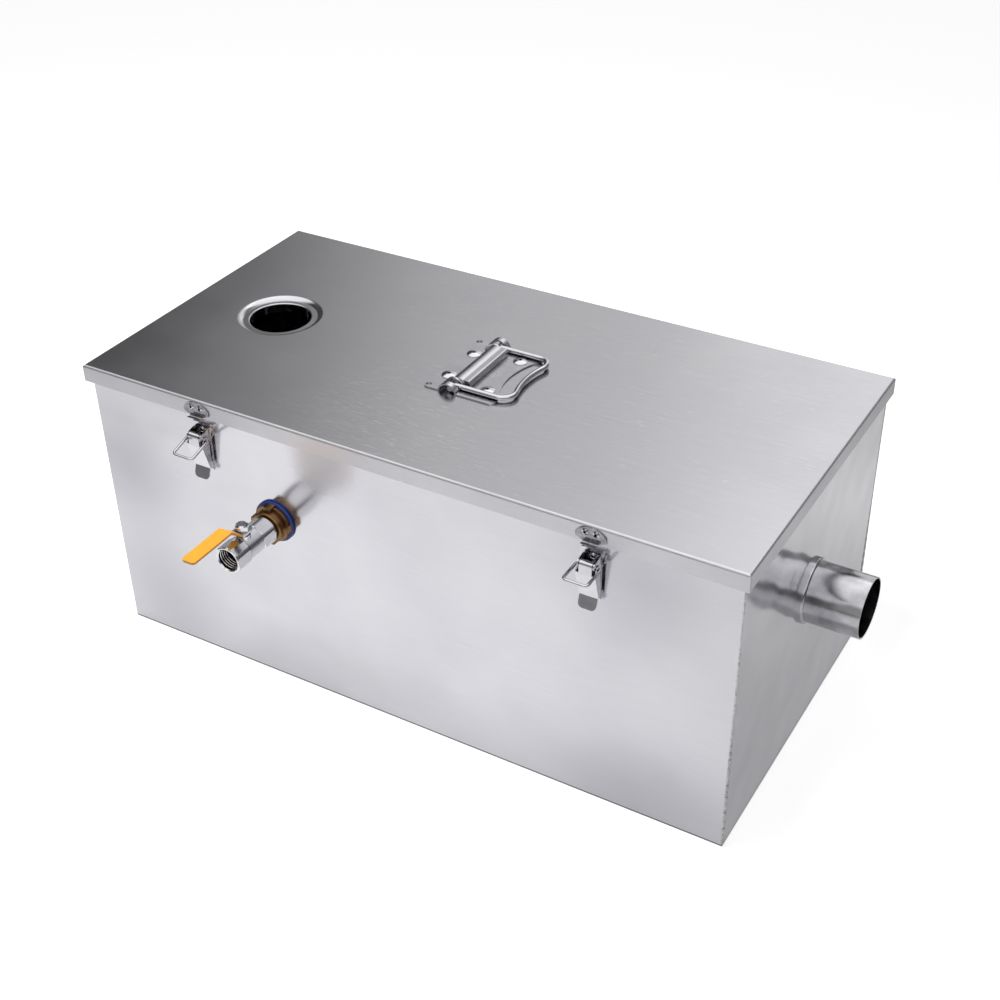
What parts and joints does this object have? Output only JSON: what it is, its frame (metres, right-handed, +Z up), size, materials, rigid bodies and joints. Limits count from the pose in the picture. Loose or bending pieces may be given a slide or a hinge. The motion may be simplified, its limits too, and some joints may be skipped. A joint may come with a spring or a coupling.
{
  "type": "grease trap",
  "caption": "Stainless-steel grease trap: lift-off lid with a sunk pipe inlet and a bail handle, draw latches, ball drain valve, round end outlet, baffles and a strainer basket inside.",
  "frame": {"origin": "centre of the tank floor's underside", "axes": "+X along the trap towards the outlet, -Y out of the front with the drain valve, +Z up"},
  "size_m": [0.6445, 0.4345, 0.2751],
  "materials": {
    "brushed_steel": "stainless sheet with a fine long brush grain",
    "polished_steel": "stainless, polished bright",
    "plated_steel": "steel, bright nickel plate with fine drawing marks",
    "valve_chrome": "chromed brass, mirror bright",
    "valve_brass": "cast and turned brass, dulled",
    "blue_rubber": "moulded rubber, half matt",
    "black_rubber": "cellular strip, matt",
    "white_seat": "white fluoropolymer, waxy",
    "lever_yellow": "yellow enamel over steel strip"
  },
  "bodies": {
    "tank": {"tank_wrap": "brushed_steel", "tank_floor": "brushed_steel", "outlet_end": "brushed_steel", "outlet_pipe": "polished_steel", "inlet_baffle": "brushed_steel", "outlet_baffle": "brushed_steel", "basket_ledges": "brushed_steel", "strainer_basket": "polished_steel", "basket_strap": "polished_steel", "nipple": "valve_brass", "inner_washer": "black_rubber", "wall_washer": "blue_rubber", "locknut": "valve_brass", "valve_tail": "valve_chrome", "valve_body": "valve_chrome", "ball_seats": "white_seat", "gland_nut": "valve_chrome", "base_rivets": "plated_steel", "latch_base_front_left": "plated_steel", "latch_base_front_right": "plated_steel", "latch_base_back_left": "plated_steel", "latch_base_back_right": "plated_steel", "latch_pin_front_left": "plated_steel", "latch_pin_front_right": "plated_steel", "latch_pin_back_left": "plated_steel", "latch_pin_back_right": "plated_steel"},
    "drain_lever": {"valve_ball": "valve_chrome", "valve_stem": "valve_chrome", "valve_lever": "lever_yellow", "lever_nut": "valve_chrome"},
    "lid": {"lid_pan": "brushed_steel", "inlet_collar": "polished_steel", "lid_gasket": "black_rubber", "handle_plate": "plated_steel", "handle_rivets": "plated_steel", "catch_rivets": "plated_steel", "catch_front_left": "plated_steel", "catch_front_right": "plated_steel", "catch_back_left": "plated_steel", "catch_back_right": "plated_steel"},
    "bail": {"handle_bail": "plated_steel"},
    "lever_front_left": {"latch_lever_front_left": "plated_steel"},
    "loop_front_left": {"latch_loop_front_left": "plated_steel"},
    "lever_front_right": {"latch_lever_front_right": "plated_steel"},
    "loop_front_right": {"latch_loop_front_right": "plated_steel"},
    "lever_back_left": {"latch_lever_back_left": "plated_steel"},
    "loop_back_left": {"latch_loop_back_left": "plated_steel"},
    "lever_back_right": {"latch_lever_back_right": "plated_steel"},
    "loop_back_right": {"latch_loop_back_right": "plated_steel"}
  },
  "joints": [
    {"name": "lid_lift", "type": "slide", "parent": "tank", "child": "lid", "axis": [0, 0, 1], "range_m": [0, 0.3]},
    {"name": "bail_swing", "type": "hinge", "parent": "lid", "child": "bail", "pos_m": [-0.006, 0, 0.27075], "axis": [0, -1, 0], "range_deg": [0, 90]},
    {"name": "drain_turn", "type": "hinge", "parent": "tank", "child": "drain_lever", "pos_m": [-0.113, -0.19, 0.19], "axis": [0, 0, -1], "range_deg": [0, 90]},
    {"name": "lever_front_left", "type": "hinge", "parent": "tank", "child": "lever_front_left", "pos_m": [-0.179, -0.1577, 0.2365], "axis": [-1, 0, 0], "range_deg": [0, 100]},
    {"name": "loop_front_left", "type": "hinge", "parent": "lever_front_left", "child": "loop_front_left", "pos_m": [-0.179, -0.1552, 0.233], "axis": [1, 0, 0], "range_deg": [-106, 60]},
    {"name": "lever_front_right", "type": "hinge", "parent": "tank", "child": "lever_front_right", "pos_m": [0.179, -0.1577, 0.2365], "axis": [-1, 0, 0], "range_deg": [0, 100]},
    {"name": "loop_front_right", "type": "hinge", "parent": "lever_front_right", "child": "loop_front_right", "pos_m": [0.179, -0.1552, 0.233], "axis": [1, 0, 0], "range_deg": [-90, 76]},
    {"name": "lever_back_left", "type": "hinge", "parent": "tank", "child": "lever_back_left", "pos_m": [-0.179, 0.1577, 0.2365], "axis": [1, 0, 0], "range_deg": [0, 100]},
    {"name": "loop_back_left", "type": "hinge", "parent": "lever_back_left", "child": "loop_back_left", "pos_m": [-0.179, 0.1552, 0.233], "axis": [-1, 0, 0], "range_deg": [-90, 76]},
    {"name": "lever_back_right", "type": "hinge", "parent": "tank", "child": "lever_back_right", "pos_m": [0.179, 0.1577, 0.2365], "axis": [1, 0, 0], "range_deg": [0, 100]},
    {"name": "loop_back_right", "type": "hinge", "parent": "lever_back_right", "child": "loop_back_right", "pos_m": [0.179, 0.1552, 0.233], "axis": [-1, 0, 0], "range_deg": [-90, 76]}
  ]
}
